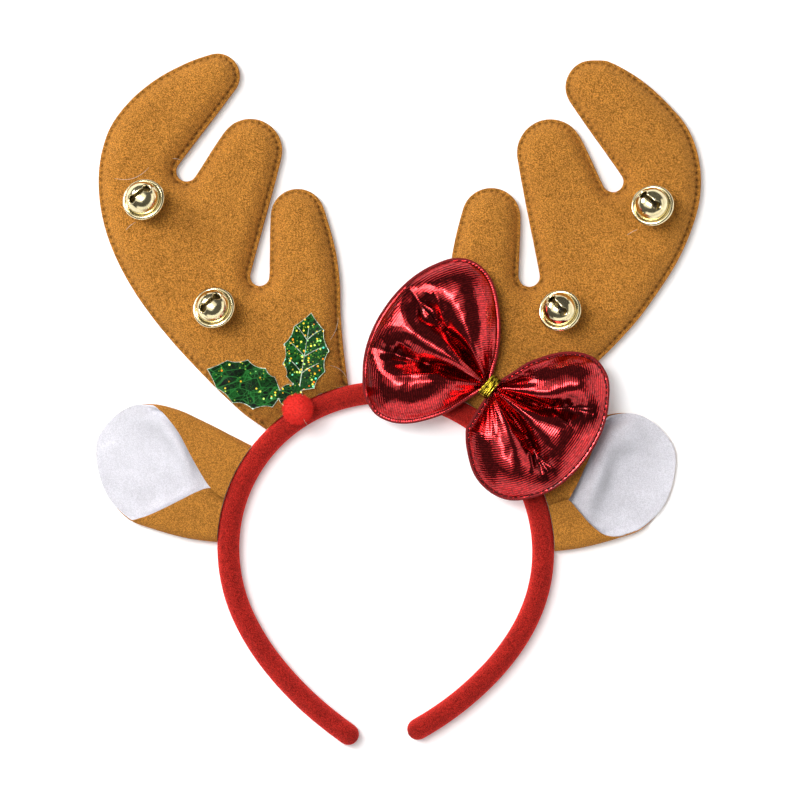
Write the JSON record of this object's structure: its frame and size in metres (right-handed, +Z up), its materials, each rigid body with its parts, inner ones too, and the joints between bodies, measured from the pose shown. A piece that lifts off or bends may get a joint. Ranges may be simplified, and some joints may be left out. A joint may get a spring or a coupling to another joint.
{
  "type": "reindeer antler christmas headband",
  "caption": "Felt-covered open hoop worn on the head, with padded antlers, folded felt ears, hollow jingle bells, a holly sprig with a pompom berry, and a pleated metallic bow.",
  "frame": {"origin": "under the middle of the whole headpiece, on the surface that it lies on", "axes": "+Z up, out of the side that shows when it is worn; +Y towards the antler tips; +X to the right as seen from that side"},
  "size_m": [0.252, 0.2874, 0.0276],
  "materials": {
    "red_felt": "matte needle felt",
    "brown_felt": "matte brushed felt",
    "white_felt": "matte brushed felt",
    "gold_metal": "polished",
    "steel": "plain",
    "holly_film": "glitter film",
    "red_pompom": "fluffy",
    "red_lame": "metallic ribbed cloth",
    "gold_cloth": "metallic thread"
  },
  "bodies": {
    "root": {"headband": "red_felt", "antler_left_front": "brown_felt", "antler_left_back": "brown_felt", "antler_right_front": "brown_felt", "antler_right_back": "brown_felt", "ear_left_outer": "brown_felt", "ear_left_inner": "white_felt", "ear_right_outer": "brown_felt", "ear_right_inner": "white_felt", "bell_left_upper": "gold_metal", "bell_left_upper_pellet": "steel", "bell_left_lower": "gold_metal", "bell_left_lower_pellet": "steel", "bell_right_upper": "gold_metal", "bell_right_upper_pellet": "steel", "bell_right_lower": "gold_metal", "bell_right_lower_pellet": "steel", "holly_leaves": "holly_film", "berry_pompom": "red_pompom", "bow_front": "red_lame", "bow_back": "red_lame", "bow_tie": "gold_cloth"}
  },
  "joints": []
}
